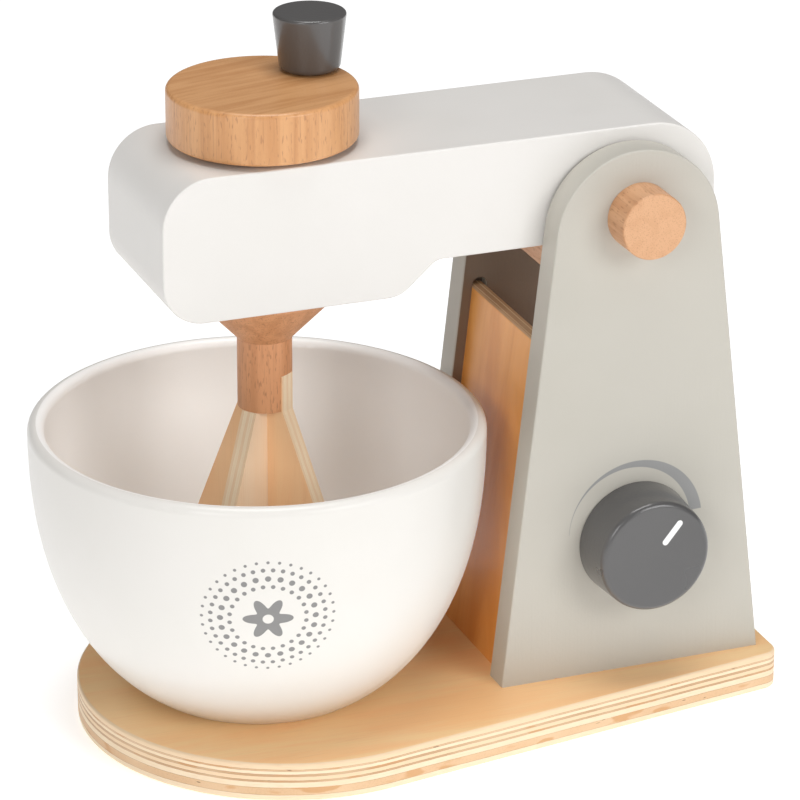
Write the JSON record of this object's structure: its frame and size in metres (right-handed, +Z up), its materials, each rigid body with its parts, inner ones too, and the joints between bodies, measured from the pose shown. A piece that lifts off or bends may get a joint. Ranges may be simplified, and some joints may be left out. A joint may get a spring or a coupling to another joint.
{
  "type": "toy stand mixer",
  "caption": "Wooden toy stand mixer with a tilting arm, a hand-cranked whisk, a turning dial, a loose bowl and a round-fronted board.",
  "frame": {"origin": "middle of the base board's underside", "axes": "+X from the bowl to the column, +Z up, -Y towards the dial"},
  "size_m": [0.2372, 0.1452, 0.2313],
  "materials": {
    "plywood": "clear-lacquered birch plywood with its layers showing at the edges",
    "beech": "clear-lacquered turned beech",
    "white_paint": "satin warm white paint on wood",
    "bowl_paint": "satin warm white paint on wood, grey print on the front",
    "grey_paint": "matt warm grey paint on board",
    "dark_paint": "gloss dark grey paint on turned wood",
    "screw_steel": "zinc-plated steel"
  },
  "bodies": {
    "stand": {"base_board": "plywood", "dial_side_cheek": "grey_paint", "plain_side_cheek": "grey_paint", "front_panel": "plywood", "stop_bar": "beech", "pivot_dowel": "beech", "cheek_screw_1": "screw_steel", "cheek_screw_2": "screw_steel", "cheek_screw_3": "screw_steel", "cheek_screw_4": "screw_steel"},
    "arm": {"arm_beam": "white_paint", "arm_spacer_1": "beech", "arm_spacer_2": "beech", "crank_washer": "beech"},
    "drive": {"crank_disc": "beech", "drive_dowel": "beech", "crank_pin": "screw_steel", "whisk_hub": "beech", "whisk_shaft": "beech", "whisk_plate_1": "plywood", "whisk_plate_2": "plywood"},
    "knob": {"crank_knob": "dark_paint"},
    "dial": {"speed_dial": "dark_paint", "dial_spindle": "beech", "dial_keeper": "beech"},
    "bowl": {"bowl": "bowl_paint"}
  },
  "joints": [
    {"name": "arm_tilt", "type": "hinge", "parent": "stand", "child": "arm", "pos_m": [0.06, 0, 0.169], "axis": [0, 1, 0], "range_deg": [0, 50]},
    {"name": "crank_spin", "type": "hinge", "parent": "arm", "child": "drive", "pos_m": [-0.0503, 0, 0.2], "axis": [0, 0, 1], "continuous": true},
    {"name": "knob_spin", "type": "hinge", "parent": "drive", "child": "knob", "pos_m": [-0.03143, 0.00921, 0.22], "axis": [0, 0, 1], "continuous": true},
    {"name": "dial_turn", "type": "hinge", "parent": "stand", "child": "dial", "pos_m": [0.0615, -0.05, 0.0588], "axis": [0, -1, 0], "continuous": true},
    {"name": "bowl_lift", "type": "slide", "parent": "stand", "child": "bowl", "axis": [0, 0, 1], "range_m": [0, 0.004]}
  ]
}
